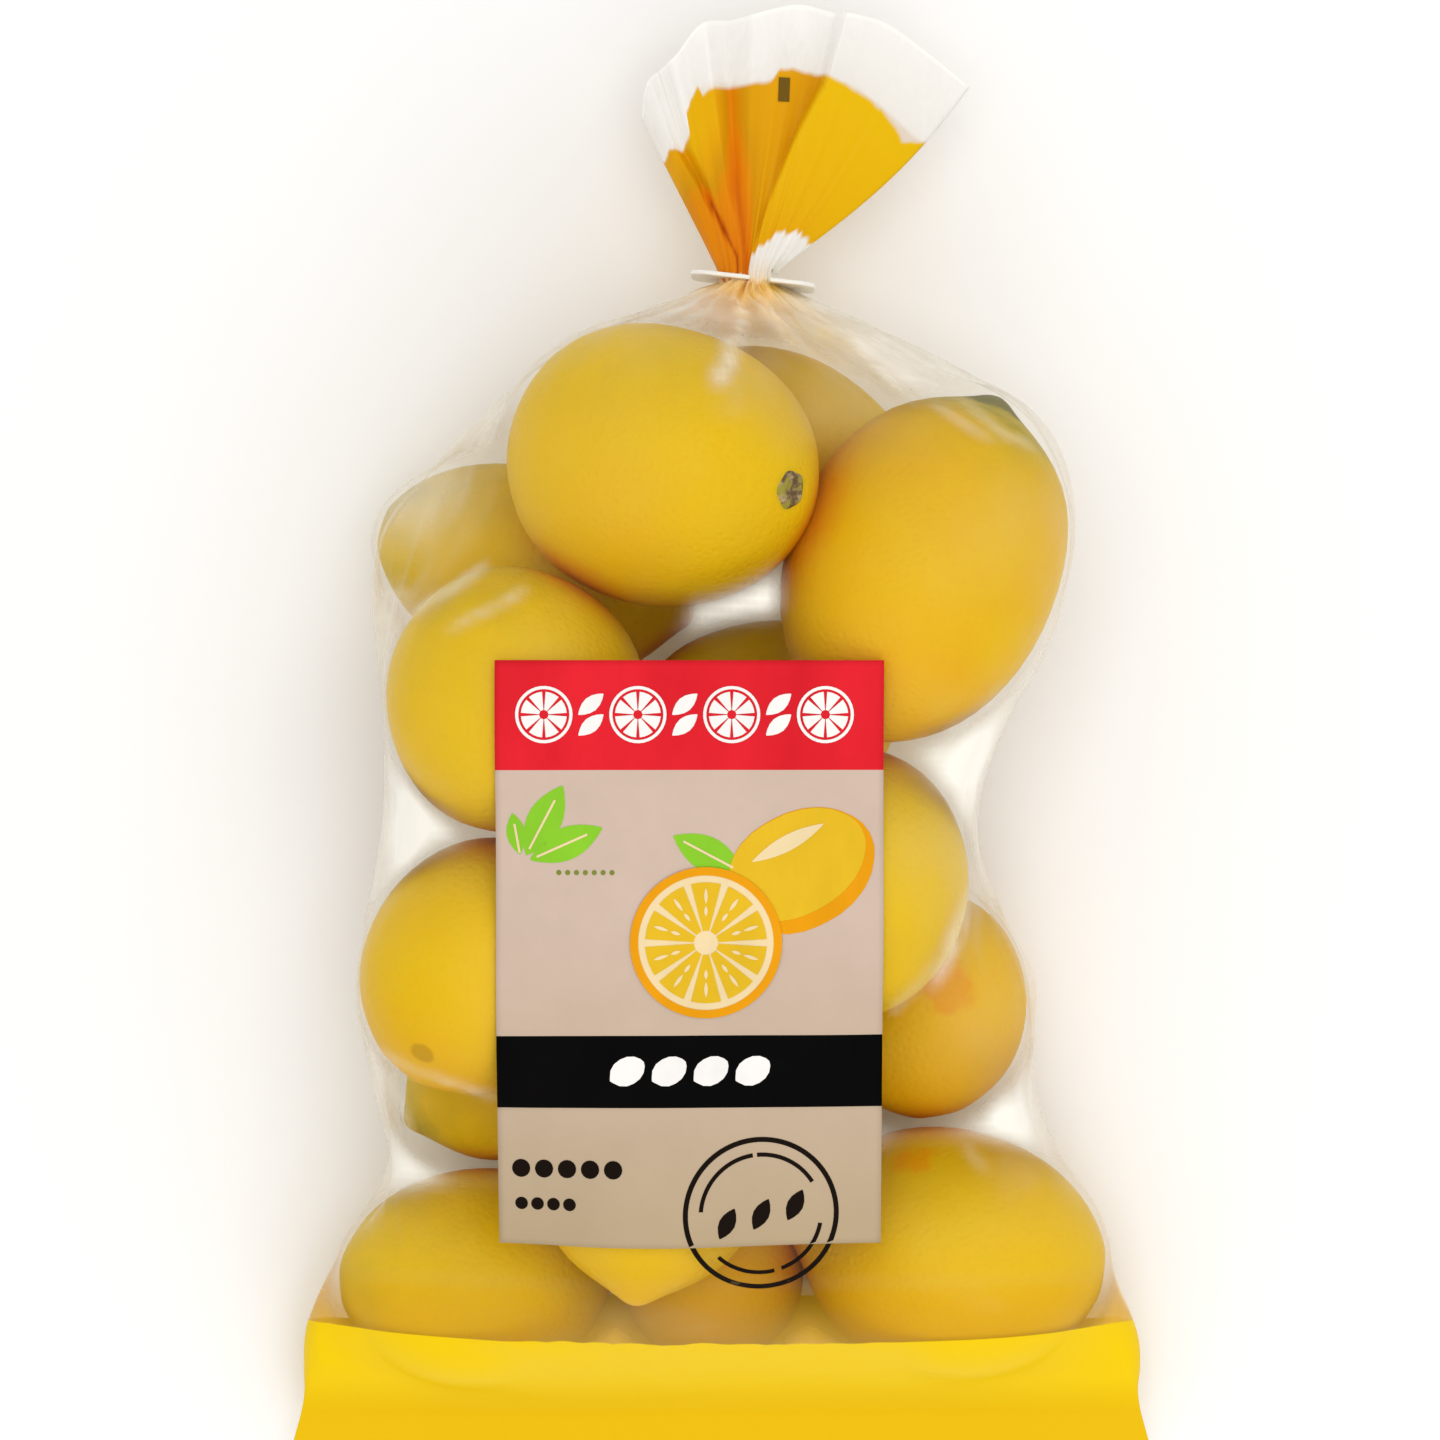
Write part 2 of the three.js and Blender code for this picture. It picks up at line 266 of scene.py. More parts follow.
# A lemon's outline: how far along its axis and how far out, as shares of half its length and width.
lemonOutline = [
    (-1, 0), (-0.992, 0.06), (-0.968, 0.125), (-0.925, 0.2), (-0.87, 0.325), (-0.78, 0.53),
    (-0.65, 0.735), (-0.48, 0.88), (-0.28, 0.968), (-0.05, 1), (0.18, 0.988), (0.4, 0.918),
    (0.6, 0.795), (0.76, 0.625), (0.87, 0.44), (0.935, 0.285), (0.968, 0.17), (0.965, 0.07), (0.96, 0),
]
form = {
    "steps": 36, "levels": 1, "floor": 0.3,
    "uneven": 0.75, "lumps": 0.028,  # lumps, this high and one for each so many metres
    "hollows": 0.35,  # how much of the lumps goes inwards
    "evenness": 1.6,  # how soon they fade in along the stem and the tip
    "ribs": 0.25, "ribCount": 5, "bend": 0.9, "bends": 2.2,
    "roll": 2.1,  # each lemon is turned this much further than the one before, in radians
    "seat": 0.955,  # where the button sits, as a share of half the length
    "buttoned": [1, 3, 6, 8, 12, 14], "greenTipped": [2],
}


def beyond(away, share):
    # How far past a body's surface the points lie that are so far from its middle.
    return (share - 1) * np.linalg.norm(away, axis=1) / np.maximum(share, 1e-6)


class Fruit:
    # The lemons as smooth bodies, to find where they touch and where the film hangs free.
    def __init__(self):
        self.bodies = []
        for shape in lemons:
            turn = np.array(turnOf(shape["heading"], shape["lift"]).transposed())
            half = np.array([shape["length"], shape["width"], shape["width"]]) * mm / 2
            self.bodies.append((np.array(shape["at"]) * mm, turn, half))

    def gap(self, points, besides=None):
        # How far each point is from the nearest lemon, leaving one of them out.
        gaps = []
        for centre, turn, half in [body for k, body in enumerate(self.bodies) if k != besides]:
            inside = (points - centre) @ turn.T
            gaps.append(beyond(inside, np.linalg.norm(inside / half, axis=1)))
        return np.min(gaps, axis=0)

    def bareness(self, points):
        # How far each point is, seen from above, from the nearest lemon's outline.
        gaps = []
        for centre, turn, half in self.bodies:
            seen = np.linalg.inv((turn.T @ np.diag(half ** 2) @ turn)[:2, :2])
            away = points[:, :2] - centre[:2]
            gaps.append(beyond(away, np.sqrt(np.sum(away @ seen * away, axis=1))))
        return np.min(gaps, axis=0)

    def pushOut(self, points, clear):
        for centre, turn, half in self.bodies:
            inside = (points - centre) @ turn.T
            share = np.linalg.norm(inside / (half + clear), axis=1)
            buried = share < 1
            points[buried] = centre + (points[buried] - centre) / share[buried, None]
        return points


def makePeel():
    s = Shader("lemon_peel")
    golden = s.attribute("warm")
    patches = s.noise(scale=peel["patches"], detail=3, between=(0.35, 0.68))
    gold = s.plus(s.times(golden, patches), s.times(golden, peel["allOver"]), clamp=True)
    shades = s.noise(scale=peel["shades"], detail=4, roughness=0.6, between=(0.3, 0.75), to=(0.35, 1.35))
    pits = s.mapRange(s.cells(peel["pores"]), 0.05, 0.55)
    # layers over the base yellow: gold and olive each carry some painted shade on the lower and top sides,
    # and the contact layer is painted shade where lemons touch
    cover = [(gold, "gold"), (s.times(s.attribute("green"), shades, clamp=True), "olive"),
             (s.times(s.math("SUBTRACT", 1, pits), peel["poreGold"]), "gold"),
             (s.times(s.attribute("near"), peel["contactShadeCover"]), "contactShade")]
    for centre, radius, tone in peel["marks"]:
        cover.append((s.times(s.spot(centre, radius), peel["markCover"]), tone))
    colour = peel["sun"]
    for amount, tone in cover:
        colour = s.blend(amount, colour, peel[tone])
    dents = s.bump(s.noise(scale=95), strength=0.3, distance=0.0008)
    s.dress(s.body, {
        "Base Color": colour,
        "Roughness": s.noise(scale=180, detail=3, between=(0.2, 0.8), to=peel["roughness"]),
        "Specular IOR Level": peel["shine"],
        "Subsurface Weight": peel["glow"], "Subsurface Radius": peel["glowReach"], "Subsurface Scale": 1.0,
        "Normal": s.bump(pits, strength=0.5, distance=peel["poreDepth"], Normal=dents),
    })
    return s.material


def makeStemBark():
    s = Shader("stem_bark")
    dry = s.noise(scale=420, detail=4, roughness=0.65, between=(0.45, 0.6))
    colour = s.blend(dry, stem["bark"], stem["dry"])
    colour = s.blend(s.noise(scale=330, between=(0.52, 0.62)), colour, stem["moss"])
    grain = s.bump(s.noise(scale=1500, detail=4), strength=0.6, distance=0.0003)
    s.dress(s.body, {"Base Color": colour, "Roughness": 0.8, "Normal": grain})
    return s.material


def addStem(bm, reach):
    # A dry five-pointed button with a round scar in its middle.
    sides = 4 * stem["points"]
    ring = ops.create_circle(bm, cap_ends=True, segments=sides, radius=stem["radius"] * mm)
    for k, v in enumerate(ring["verts"]):
        angle = atan2(v.co.y, v.co.x)
        v.co *= 1 + stem["star"] * cos(stem["points"] * angle) + stem["uneven"] * sin(3 * angle + k)
    face = [f for f in bm.faces if all(v in ring["verts"] for v in f.verts)]
    raised = ops.extrude_face_region(bm, geom=face)
    top = only(bmesh.types.BMFace, raised["geom"])
    rim = only(bmesh.types.BMVert, raised["geom"])
    ops.delete(bm, geom=face, context="FACES_ONLY")
    for v in rim:
        v.co = Vector((v.co.x * stem["taper"], v.co.y * stem["taper"], stem["height"] * mm))
    for depth, thickness in stem["scar"]:
        ops.inset_region(bm, faces=top, thickness=thickness * mm, depth=depth * mm)
    near = {v for f in top for v in f.verts} | set(rim) | set(ring["verts"])
    near |= {e.other_vert(v) for v in list(near) for e in v.link_edges}
    quarter = Matrix.Rotation(radians(90), 4, "Y")
    for v in near:
        v.co = quarter @ v.co
        v.co.x += reach
    for f in {f for v in near for f in v.link_faces}:
        f.material_index = 1


def makeLemon(number, shape, fruit, materials):
    bm = bmesh.new()
    long, wide = shape["length"] * mm / 2, shape["width"] * mm / 2  # halves of its size
    spin(bm, [(x * long, r * wide, 0) for x, r in lemonOutline], (0, 0, 0), (1, 0, 0), 2 * pi, form["steps"])
    ops.remove_doubles(bm, verts=bm.verts, dist=0.00001)
    ops.recalc_face_normals(bm, faces=bm.faces)
    seed = Vector((number * 7.3, number * 3.1, 0))  # gives each lemon lumps of its own
    for v in bm.verts:
        out = Vector((0, v.co.y, v.co.z))
        radius = out.length
        if radius < 1e-6:
            continue
        lump = noise.noise(v.co / form["lumps"] + seed) - form["hollows"]
        around = atan2(v.co.z, v.co.y)
        rib = cos(form["ribCount"] * around + number)
        rib *= ease(0.4, 0.9, abs(v.co.x) / long)
        push = (form["uneven"] * lump + form["ribs"] * rib) * mm
        push *= min(radius / wide * form["evenness"], 1)
        v.co += out.normalized() * push
        sway = sin(form["bends"] * v.co.x / long + number)
        v.co.y += form["bend"] * mm * sway * radius / wide
        reach = Vector((v.co.x / long, v.co.y / wide, v.co.z / wide)).length
        v.co /= max(reach, 1)  # no bump stands out into the film
    if number in form["buttoned"]:
        addStem(bm, form["seat"] * long)
    green, warm, near = (bm.verts.layers.float.new(name) for name in ("green", "warm", "near"))
    for v in bm.verts:
        end = abs(v.co.x) / long
        tip = (number in form["greenTipped"]) * ease(-0.55, -0.88, v.co.x / long)
        v[green] = min(shape["green"] * (0.45 + 0.75 * ease(0.45, 1.0, end)) + tip, 1.0)
    turn = turnOf(shape["heading"], shape["lift"]).to_4x4()
    roll = Matrix.Rotation(number * form["roll"], 4, "X")
    middle = Vector(shape["at"]) * mm
    ops.transform(bm, matrix=Matrix.Translation(middle) @ turn @ roll, verts=bm.verts)
    for v in bm.verts:
        v.co.z = max(v.co.z, form["floor"] * mm)
        along = (v.co.y - middle.y) / wide
        # painted shade: the top side is turned towards olive, the lower side towards deep gold
        v[green] = min(v[green] + peel["topsideShade"] * ease(0.1, 1.0, along), 1.0)
        v[warm] = min(shape["warm"] + peel["undersideShade"] * ease(0.25, -1.0, along), 1.0)
    # painted shade: how near each place lies to another lemon, which turns the peel deep orange there
    for v, gap in zip(bm.verts, fruit.gap(np.array([v.co for v in bm.verts]), besides=number - 1)):
        v[near] = ease(peel["contactShadeReach"], 0.5, gap / mm) ** 2
    piece = finishPiece(f"lemon_{number:02d}", bm, materials)
    rounding = piece.modifiers.new("round", "SUBSURF")
    rounding.levels = rounding.render_levels = form["levels"]
    return piece


# The film is a thin tube, from the flat seal, round the fruit and through the tag to the open mouth.
film = {
    "columns": 288,
    "runs": [(-161, -150, 1.2), (-150, 80, 1.7), (80, 97, 0.7)],  # rows along the bag: from, to, step
    "heart": [(-161, 0, 15), (-151, 0, 16.8), (-134, 0, 24), (-118, 1, 31), (-96, 1, 40), (-60, -5, 46),
              (-20, -8, 48), (40, 0, 48), (72, 7, 45), (90, 6, 41), (97, 5.8, 40)],  # y, x, z inside the bag
    "sideRow": 60,  # a row over the fruit, which starts at the bag's right side
    "sealTop": -151, "sealGap": 0.15, "floor": 0.1,
    "thinTop": -148,  # below this the bag is too thin to be found from inside
    "looseFrom": -156, "smoothing": 7, "softening": 3,
    "seam": (-158, -138), "seamSmoothing": 25,  # the run into the seal is smoothed more in height
    "clear": 0.4, "foldedClear": 0.28,  # how far the film stays off the peel, and where it is folded
    "gatherFade": 16,  # how far down from the neck the bunched film stays dense
    "tanned": 1.4, "tanReach": (10, 24),  # how far its brown tint reaches to either side, and down
    "tint": (0.99, 0.983, 0.968), "roughness": 0.14, "edgeShine": 0.55,
    "haze": (0, 0.03),  # clear patches and cloudy ones
    "openHaze": 0.46, "gatherHaze": 0.85,  # more where it hangs bare, and where it is bunched up
    "cream": (0.96, 0.92, 0.82), "tan": (0.94, 0.6, 0.2), "straw": (0.8, 0.5, 0.02),
    "fanHaze": 0.14, "fanWhite": (0.95, 0.93, 0.895),
    "aboveBand": (0.86, 0.47, 0.004), "tinted": (-110, -124),  # it takes up the yellow of the bottom print
    "bleed": 0.36, "bled": (-119, -134),  # and grows this much denser
}

folds = {
    "gathers": 1.5, "reach": 26,  # height and length of the gathers that run out from the neck
    "ridges": 4.2, "fineRidges": 9.5, "sharpness": 3.2, "fineShare": 0.5,
    "slack": 0.8,
    "slackGrain": (0.055, 0.021, 0.05), "creaseGrain": (0.13, 0.045, 0.12),  # per mm
    "onFruit": 0.12,  # how much of the slack is left where a lemon lies behind
}

neck = {"x": 5.8, "z": 40, "bottom": 97, "top": 100}
neckMiddle = Vector((neck["x"], neck["bottom"], neck["z"]))

# Creases on the front: the line that each follows (mm), its width, height and milkiness, which is partly
# whitened film and partly a painted highlight along the crease.
creases = table(
    "line width height milk",
    ([(8.2, 98.5), (9.9, 89.7), (14.3, 84.3), (18, 80)], 1.8, 1.5, 0.7),
    ([(5.5, 97), (3.3, 84.1), (1.1, 76.5), (-1.5, 70)], 2.3, 1.3, 0.6),
    ([(3.5, 80), (4, 72), (5, 64)], 5, 0.3, 0.1),
    ([(15, 95), (27.4, 85), (35, 82.3), (42.7, 76.8), (49, 70)], 1, 0.7, 0.4),
    ([(17.5, 90), (27.4, 83.4), (35, 76.1), (43, 67.5)], 1.1, 0.8, 0.45),
    ([(33, 86.5), (40.5, 82.3), (52.6, 73.1)], 0.8, 0.5, 0.35),
    ([(50, 72), (61.3, 62.6), (70, 59.3)], 1.2, 0.4, 0.2),
    ([(44, 71), (52, 65), (60, 60.5)], 1.3, 0.4, 0.2),
    ([(-68, 23), (-58, 29), (-49, 35.5)], 1.3, 0.6, 0.4),
    ([(-71, 31), (-71.5, 21)], 4, 0.5, 0.3),
    ([(-58, 20.5), (-47, 25.9), (-40, 30)], 1.2, 0.4, 0.25),
    ([(-78, -68), (-66, -74), (-51, -79), (-46, -80)], 1, 0.6, 0.2),
    ([(-75, -71), (-69, -81), (-66, -90)], 1, 0.5, 0.12),
    ([(56, -32), (51.7, -43), (47.5, -53), (44, -58)], 2.4, 0.6, 0.32),
    ([(46, -53.5), (40, -58.5), (36, -62)], 1.3, 0.4, 0.22),
    ([(61, 8), (54, 1), (44, -6)], 2.2, 0.4, 0.25),
    ([(51, -86), (54.7, -93.3), (60.3, -98.4)], 1.6, 0.2, 0.1),
    ([(60, -93), (69, -103)], 5, 0.15, 0.05),
    ([(23, 87), (32, 81.5), (41, 76), (52, 71)], 3.5, 0.2, 0.4),
)

# Cloudy places in the film (mm): how milky each is over fruit and where it hangs bare, and how tanned.
clouds = table(
    "at radius fruit bare tone",
    ((4, 22), 18, 0, 0.9, 0),
    ((-68, -20), 14, 0.02, 1.1, 0),
    ((54, -6), 13, 0.05, 0.7, 0),
    ((60, -88), 11, 0, 1, 0),
    ((-60, -95), 12, 0, 0.9, 0),
    ((-14, 88), 12, 0.03, 0.6, 0),
    ((18, 78), 11, 0.18, 0.28, 0.9),
    ((55, -28), 15, 0.09, 0.1, 0),
    ((62, -66), 14, 0.06, 0, 0),
    ((68, 42), 13, 0.06, 0, 0),
    ((-67, 51), 11, 0.42, 0.3, 0),
    ((31, 72), 12, 0.08, 0, 0),
)

# The edge of the fan, from its right corner to its left one, and the folds of its back (share, height).
fan = {
    "edge": [(55.5, 142), (46, 149.5), (36, 156), (24.5, 158.5), (16.5, 159.8), (5, 157), (-4, 155.5),
             (-10, 148.5), (-16, 143), (-17.5, 135)],
    "rows": 46, "hemMilk": 0.25, "halfDepth": 6, "droop": 8, "bow": 4,
    "backFolds": [(0, 0), (0.1, -2.2), (0.24, 2.4), (0.36, -2.8), (0.5, 3), (0.64, -3.2), (0.76, 2.6),
                  (0.88, -2.4), (1, 0)],
}

# The pleats down the fan's front, right to left: by how far up the fan, their place as a share of the rim,
# their height, and their tone, which is bright yellow at 0 and nearly brown at 1: partly deeper orange where
# the printed film lies in layers, partly painted shade down in the folds.
pleats = table(
    "share height tone",
    ([(0, 0)], [(0, 0)], [(0, 0.15), (0.7, 0)]),
    ([(0, 0.2), (0.7, 0.15)], [(0, 0.8)], [(0, 0.35), (0.3, 0.12), (0.7, 0)]),
    ([(0.1, 0.435), (0.72, 0.3)], [(0, 3.4)], [(0, 0.3), (0.3, 0.12), (0.72, 0.02)]),
    ([(0.1, 0.455), (0.72, 0.32)], [(0, -1.8)], [(0, 0.5), (0.72, 0.52)]),
    ([(0.05, 0.47), (0.72, 0.46)], [(0, 0.6)], [(0, 0.4), (0.7, 0.34)]),
    ([(0.05, 0.485), (0.3, 0.53), (0.6, 0.535)], [(0, 2)], [(0, 0.8), (0.35, 0.62), (0.6, 0.42)]),
    ([(0.05, 0.53), (0.3, 0.585), (0.6, 0.595)], [(0, -3)], [(0, 0.9), (0.35, 0.86), (0.6, 0.66)]),
    ([(0.05, 0.56), (0.3, 0.64), (0.6, 0.655)], [(0, 2.4)], [(0, 0.8), (0.35, 0.62), (0.6, 0.2)]),
    ([(0.05, 0.58), (0.1, 0.64), (0.3, 0.73), (0.6, 0.8)], [(0, 1.2)],
     [(0, 0.85), (0.3, 0.62), (0.45, 0.3), (0.6, 0.12)]),
    ([(0.05, 0.6), (0.1, 0.66), (0.3, 0.76), (0.6, 0.84)], [(0, -3.2)],
     [(0, 1), (0.3, 1), (0.42, 0.6), (0.6, 0.25)]),
    ([(0.05, 0.63), (0.1, 0.69), (0.3, 0.8), (0.6, 0.88)], [(0, 1.6)], [(0, 0.7), (0.35, 0.62), (0.6, 0.3)]),
    ([(0, 1)], [(0, 0)], [(0, 0.64), (0.4, 0.6), (0.55, 0.3)]),
)

# The two yellow prints: one that ends in a shallow curve, and a band round the mouth.
ink = {
    "baseMiddle": -136.4, "baseHalfWidth": 93,
    "baseRise": 3.7,  # the sides stand this much higher than the middle
    "backRise": 7,  # in its middle the back is printed this much higher up
    "frontTop": [(0, 0.7), (0.05, 0.655), (0.12, 0.7), (0.25, 0.73), (0.31, 0.755), (0.46, 0.755),
                 (0.475, 0.72), (0.7, 0.73), (0.715, 0.79), (0.785, 0.75), (0.79, 0.66), (0.85, 0.6),
                 (0.93, 0.68), (1, 0.706)],
    "backTop": [(0, 0.69), (0.3, 0.76), (0.5, 0.745), (0.72, 0.795), (0.8, 0.66), (1, 0.7)],
    "bottom": [(0, 0.16), (0.18, 0.165), (0.28, 0.144), (0.4, 0.09), (0.47, 0.04), (0.52, -0.2), (1, -0.2)],
    "fanLength": 62, "cover": 0.99, "edge": 0.12,
    "softEdge": 5,  # the fan's print has an edge this many times softer than the lower one's
    "yellow": (0.88, 0.59, 0.002),
    "lower": (0.79, 0.49, 0.002), "lowest": (-154, -146),  # on the seal, and up to here into the yellow
    # the fan's print by its tone, deepening to brown in the folds: partly painted shade
    "folds": [(0, (0.78, 0.47, 0.002)), (0.3, (0.76, 0.36, 0.002)), (0.5, (0.64, 0.29, 0.002)),
              (0.65, (0.76, 0.24, 0.002)), (0.8, (0.72, 0.18, 0.002)), (1, (0.38, 0.07, 0.003))],
    "backTone": 0.05, "roughness": 0.42, "shine": 0.06,
}


def cadForm(node, near):
    bm = bmesh.new()
    bm.from_mesh(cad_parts[node].data)
    ops.remove_doubles(bm, verts=bm.verts, dist=near * mm)
    return bm


def rowPlaces():
    places = [film["runs"][0][0]]
    for start, end, step in film["runs"]:
        count = round((end - start) / step)
        places += [start + (end - start) * (k + 1) / count for k in range(count)]
    return places


def firstHit(skin, start, way):
    return skin.ray_cast(Vector(start), Vector(way))[0]


outside = 0.2  # metres, and well clear of the bag


def bothSides(skin, place, way, far):
    # Where a line through a place meets the skin, seen from the place or from far off.
    back = -1 if far else 1
    return firstHit(skin, place + way * far, way * back), firstHit(skin, place - way * far, way * -back)


def bodyRow(skin, y):
    # Points of one row round the bag, found from a heart line inside it.
    along, across, up = zip(*film["heart"])
    heart = Vector((np.interp(y, along, across), y, np.interp(y, along, up))) * mm
    far = outside if y < film["thinTop"] else 0
    if far:
        heart.y = max(heart.y, (film["runs"][0][0] + 0.02) * mm)
    above, below = bothSides(skin, heart, Vector((0, 0, 1)), far)
    if far:
        heart.z = (above.z + below.z) / 2
    right, left = (hit.x for hit in bothSides(skin, heart, Vector((1, 0, 0)), far))
    centre = Vector(((right + left) / 2, heart.y, (above.z + below.z) / 2))
    wide = (right - left) / 2
    deep = (above.z - below.z) / 2
    points = []
    for j in range(film["columns"]):
        angle = 2 * pi * j / film["columns"]
        if y <= film["sealTop"]:
            side = copysign(min(abs(sin(angle)) * 4, 1), sin(angle))
            points.append(centre + Vector((wide * cos(angle), 0, film["sealGap"] * mm * side)))
            continue
        ray = Vector((wide * cos(angle), 0, deep * sin(angle))).normalized()
        hit = firstHit(skin, centre, ray)
        points.append(hit or centre + ray * min(wide, deep))
    return points


def onEdge(share):
    # A place on the fan's edge, which runs smoothly through its points.
    points = np.array(fan["edge"])
    last = len(points) - 1
    i = min(int(share * last), last - 1)
    t = share * last - i
    ends = [(min(k + 1, last), max(k - 1, 0)) for k in (i, i + 1)]
    leave, reach = [(points[a] - points[b]) / (a - b) for a, b in ends]
    between = points[i] + (points[i + 1] - points[i]) * t * t * (3 - 2 * t)
    return between + leave * t * (1 - t) ** 2 + reach * t * t * (t - 1)


def fanPoint(start, share, climb, front):
    x, y = onEdge(share)
    opened = sqrt(max(sin(pi * share), 0))
    fold = frontPleat(share, climb, "height") if front else readLine(fan["backFolds"], share)
    depth = fan["halfDepth"] * opened if front else -fan["halfDepth"] * opened
    rim = Vector((x, y, neck["z"] - fan["droop"] + depth + fold)) * mm
    point = start.lerp(rim, climb)
    point.x += fan["bow"] * mm * sin(pi * climb) * (1 - share) ** 4
    return point


def baseInk(x, y, back):
    across = abs(x) / ink["baseHalfWidth"]
    risen = back * ink["backRise"] * ease(0.85, 0.45, across)
    return ink["baseMiddle"] + ink["baseRise"] * across ** 2 - y + risen


def fanInk(share, climb, front):
    top = readLine(ink["frontTop" if front else "backTop"], share) - climb
    bottom = climb - readLine(ink["bottom"], share)
    return min(top, bottom) * ink["fanLength"] / ink["softEdge"]


def frontPleat(share, climb, what):
    # The height or the tone of the fan's front, between the two pleats next to a place.
    return readLine([(readLine(p["share"], climb), readLine(p[what], climb)) for p in pleats], share)


def cloudAt(place, bare):
    # How milky the clouds make the film at a place, and how tanned.
    milk = tone = 0
    for cloud in clouds:
        fade = exp(-(((place.xy - Vector(cloud["at"])).length / cloud["radius"]) ** 2))
        over = cloud["fruit"] + (cloud["bare"] - cloud["fruit"]) * ease(-1.0, 2.5, bare)
        milk += over * fade * (1 + 0.6 * noise.noise(place * 0.12))
        tone += cloud["tone"] * fade
    return milk, tone


def creaseAt(place):
    # How high the creases stand at a place, and how milky they are: partly whitened film, partly painted
    # highlight.
    height = milk = 0
    for crease in creases:
        width = crease["width"]
        line = [Vector(p) for p in crease["line"]]
        nearest = (width * 3, 0)
        for k, (a, b) in enumerate(zip(line, line[1:])):
            run = b - a
            share = min(max((place.xy - a).dot(run) / run.length_squared, 0), 1)
            reach = (place.xy - a - run * share).length
            nearest = min(nearest, (reach, (k + share) / (len(line) - 1)))
        if nearest[0] < width * 3:
            ends = min(1, 4 * (1 - nearest[1]), 0.25 + 4 * nearest[1])
            fade = exp(-((nearest[0] / width) ** 2)) * ends
            fade *= 0.8 + 0.6 * noise.noise(place * 0.21)
            height += crease["height"] * fade
            milk = max(milk, crease["milk"] * fade)
    return height, milk


def soften(verts, layers, rounds):
    # Evens out values that the mesh carries.
    for layer in layers:
        for _ in range(rounds):
            means = [sum(e.other_vert(v)[layer] for e in v.link_edges) / len(v.link_edges) for v in verts]
            for v, mean in zip(verts, means):
                v[layer] = (v[layer] + mean) / 2


def grain(place, scales, seed=0):
    return noise.noise(Vector([p * scale for p, scale in zip(place, scales)]) + Vector((seed, 0, 0)))


def foldHeight(place, gap, angle):
    # Folds: gathers that run out from the neck, and slack where no lemon lies behind.
    away = (place - neckMiddle).length
    around = Vector((cos(angle), sin(angle), 0))
    ridge = noise.noise(around * folds["ridges"] + Vector((0, 0, away * 0.012)))
    fine = noise.noise(around * folds["fineRidges"] + Vector((3.7, 0, away * 0.02)))
    gather = 1 - abs(ridge) * folds["sharpness"] + folds["fineShare"] * (1 - abs(fine) * folds["sharpness"])
    gather *= folds["gathers"] * exp(-away / folds["reach"]) * ease(1, 7, away)
    free = ease(0.6, 6.0, gap / mm)
    crease = 0.4 - abs(grain(place, folds["creaseGrain"])) * 2
    slack = folds["slack"] * (grain(place, folds["slackGrain"], 9) + 0.6 * crease)
    slack *= folds["onFruit"] + (1 - folds["onFruit"]) * free
    return (gather + slack) * ease(film["sealTop"], film["sealTop"] + 10, place.y)


def keepOff(bm, fruit, clear):
    points = np.array([v.co for v in bm.verts])
    for v, point in zip(bm.verts, fruit.pushOut(points, clear * mm)):
        v.co = Vector(point)


